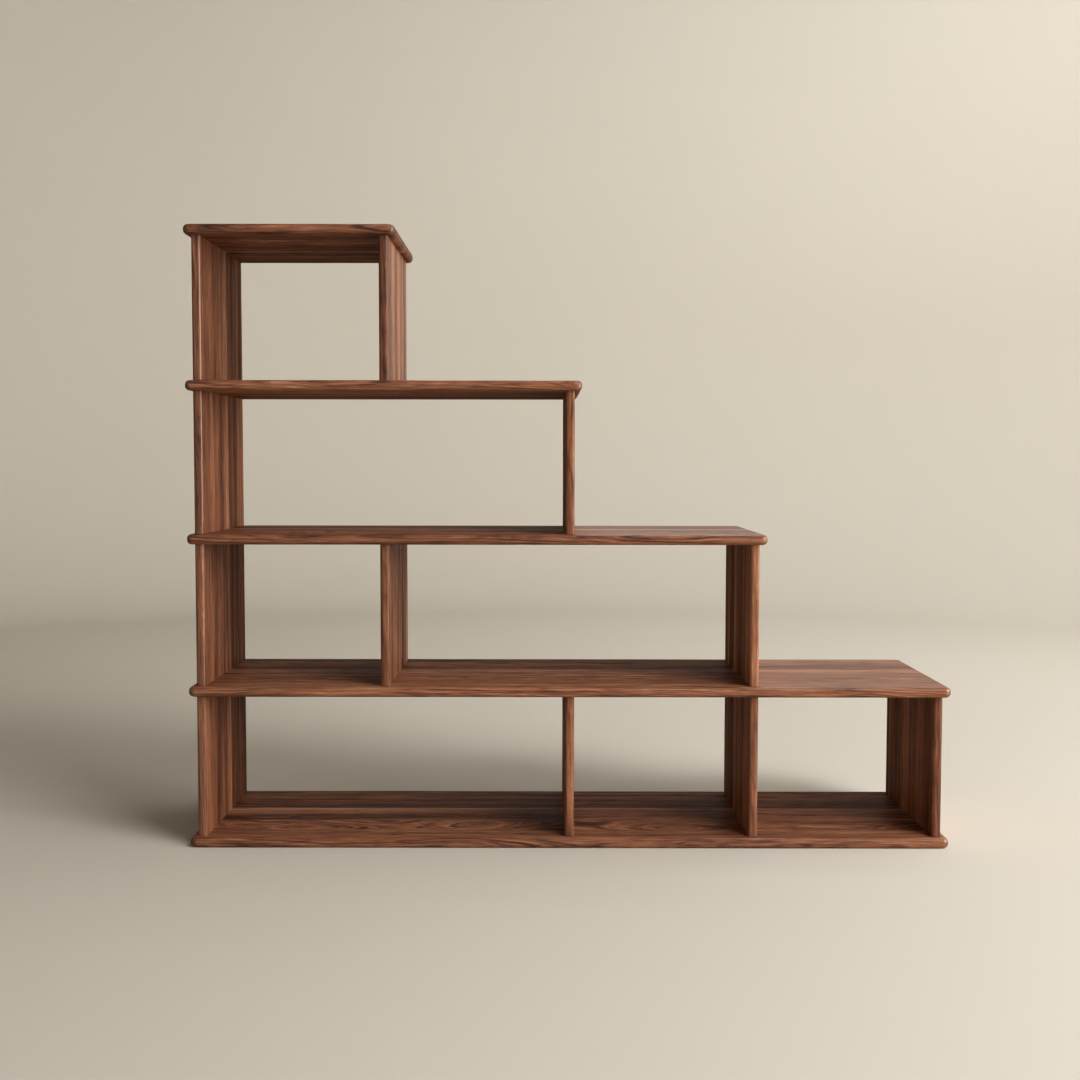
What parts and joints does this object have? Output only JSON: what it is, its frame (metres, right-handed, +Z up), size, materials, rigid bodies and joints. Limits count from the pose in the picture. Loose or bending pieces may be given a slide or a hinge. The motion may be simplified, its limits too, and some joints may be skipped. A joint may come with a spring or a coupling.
{
  "type": "staircase bookshelf",
  "caption": "Open staircase bookshelf in oiled walnut: five round-edged boards, shorter at every step, on upright panels.",
  "frame": {"origin": "on the floor under the middle of the base board", "axes": "+X to the right as seen from the front, along the boards towards the low end of the stairs; -Y is the front; +Z up"},
  "size_m": [1.5, 0.4, 1.22],
  "materials": {
    "walnut": "satin oiled walnut",
    "dowel_beech": "plain unfinished beech"
  },
  "bodies": {
    "root": {"base_board": "walnut", "base_board_dowel_a_back": "dowel_beech", "base_board_dowel_a_front": "dowel_beech", "base_board_dowel_c_back": "dowel_beech", "base_board_dowel_c_front": "dowel_beech", "base_board_dowel_d_back": "dowel_beech", "base_board_dowel_d_front": "dowel_beech", "base_board_dowel_e_back": "dowel_beech", "base_board_dowel_e_front": "dowel_beech", "level_1_divider_c": "walnut", "level_1_divider_d": "walnut", "level_1_left_side": "walnut", "level_1_right_side": "walnut", "level_2_divider_b": "walnut", "level_2_left_side": "walnut", "level_2_right_side": "walnut", "level_3_left_side": "walnut", "level_3_right_side": "walnut", "level_4_left_side": "walnut", "level_4_right_side": "walnut", "step_board_1": "walnut", "step_board_1_dowel_a_back": "dowel_beech", "step_board_1_dowel_a_front": "dowel_beech", "step_board_1_dowel_b_back": "dowel_beech", "step_board_1_dowel_b_front": "dowel_beech", "step_board_1_dowel_c_back": "dowel_beech", "step_board_1_dowel_c_front": "dowel_beech", "step_board_1_dowel_d_back": "dowel_beech", "step_board_1_dowel_d_front": "dowel_beech", "step_board_1_dowel_e_back": "dowel_beech", "step_board_1_dowel_e_front": "dowel_beech", "step_board_2": "walnut", "step_board_2_dowel_a_back": "dowel_beech", "step_board_2_dowel_a_front": "dowel_beech", "step_board_2_dowel_b_back": "dowel_beech", "step_board_2_dowel_b_front": "dowel_beech", "step_board_2_dowel_c_back": "dowel_beech", "step_board_2_dowel_c_front": "dowel_beech", "step_board_2_dowel_d_back": "dowel_beech", "step_board_2_dowel_d_front": "dowel_beech", "step_board_3": "walnut", "step_board_3_dowel_a_back": "dowel_beech", "step_board_3_dowel_a_front": "dowel_beech", "step_board_3_dowel_b_back": "dowel_beech", "step_board_3_dowel_b_front": "dowel_beech", "step_board_3_dowel_c_back": "dowel_beech", "step_board_3_dowel_c_front": "dowel_beech", "top_board": "walnut", "top_board_dowel_a_back": "dowel_beech", "top_board_dowel_a_front": "dowel_beech", "top_board_dowel_b_back": "dowel_beech", "top_board_dowel_b_front": "dowel_beech"}
  },
  "joints": []
}
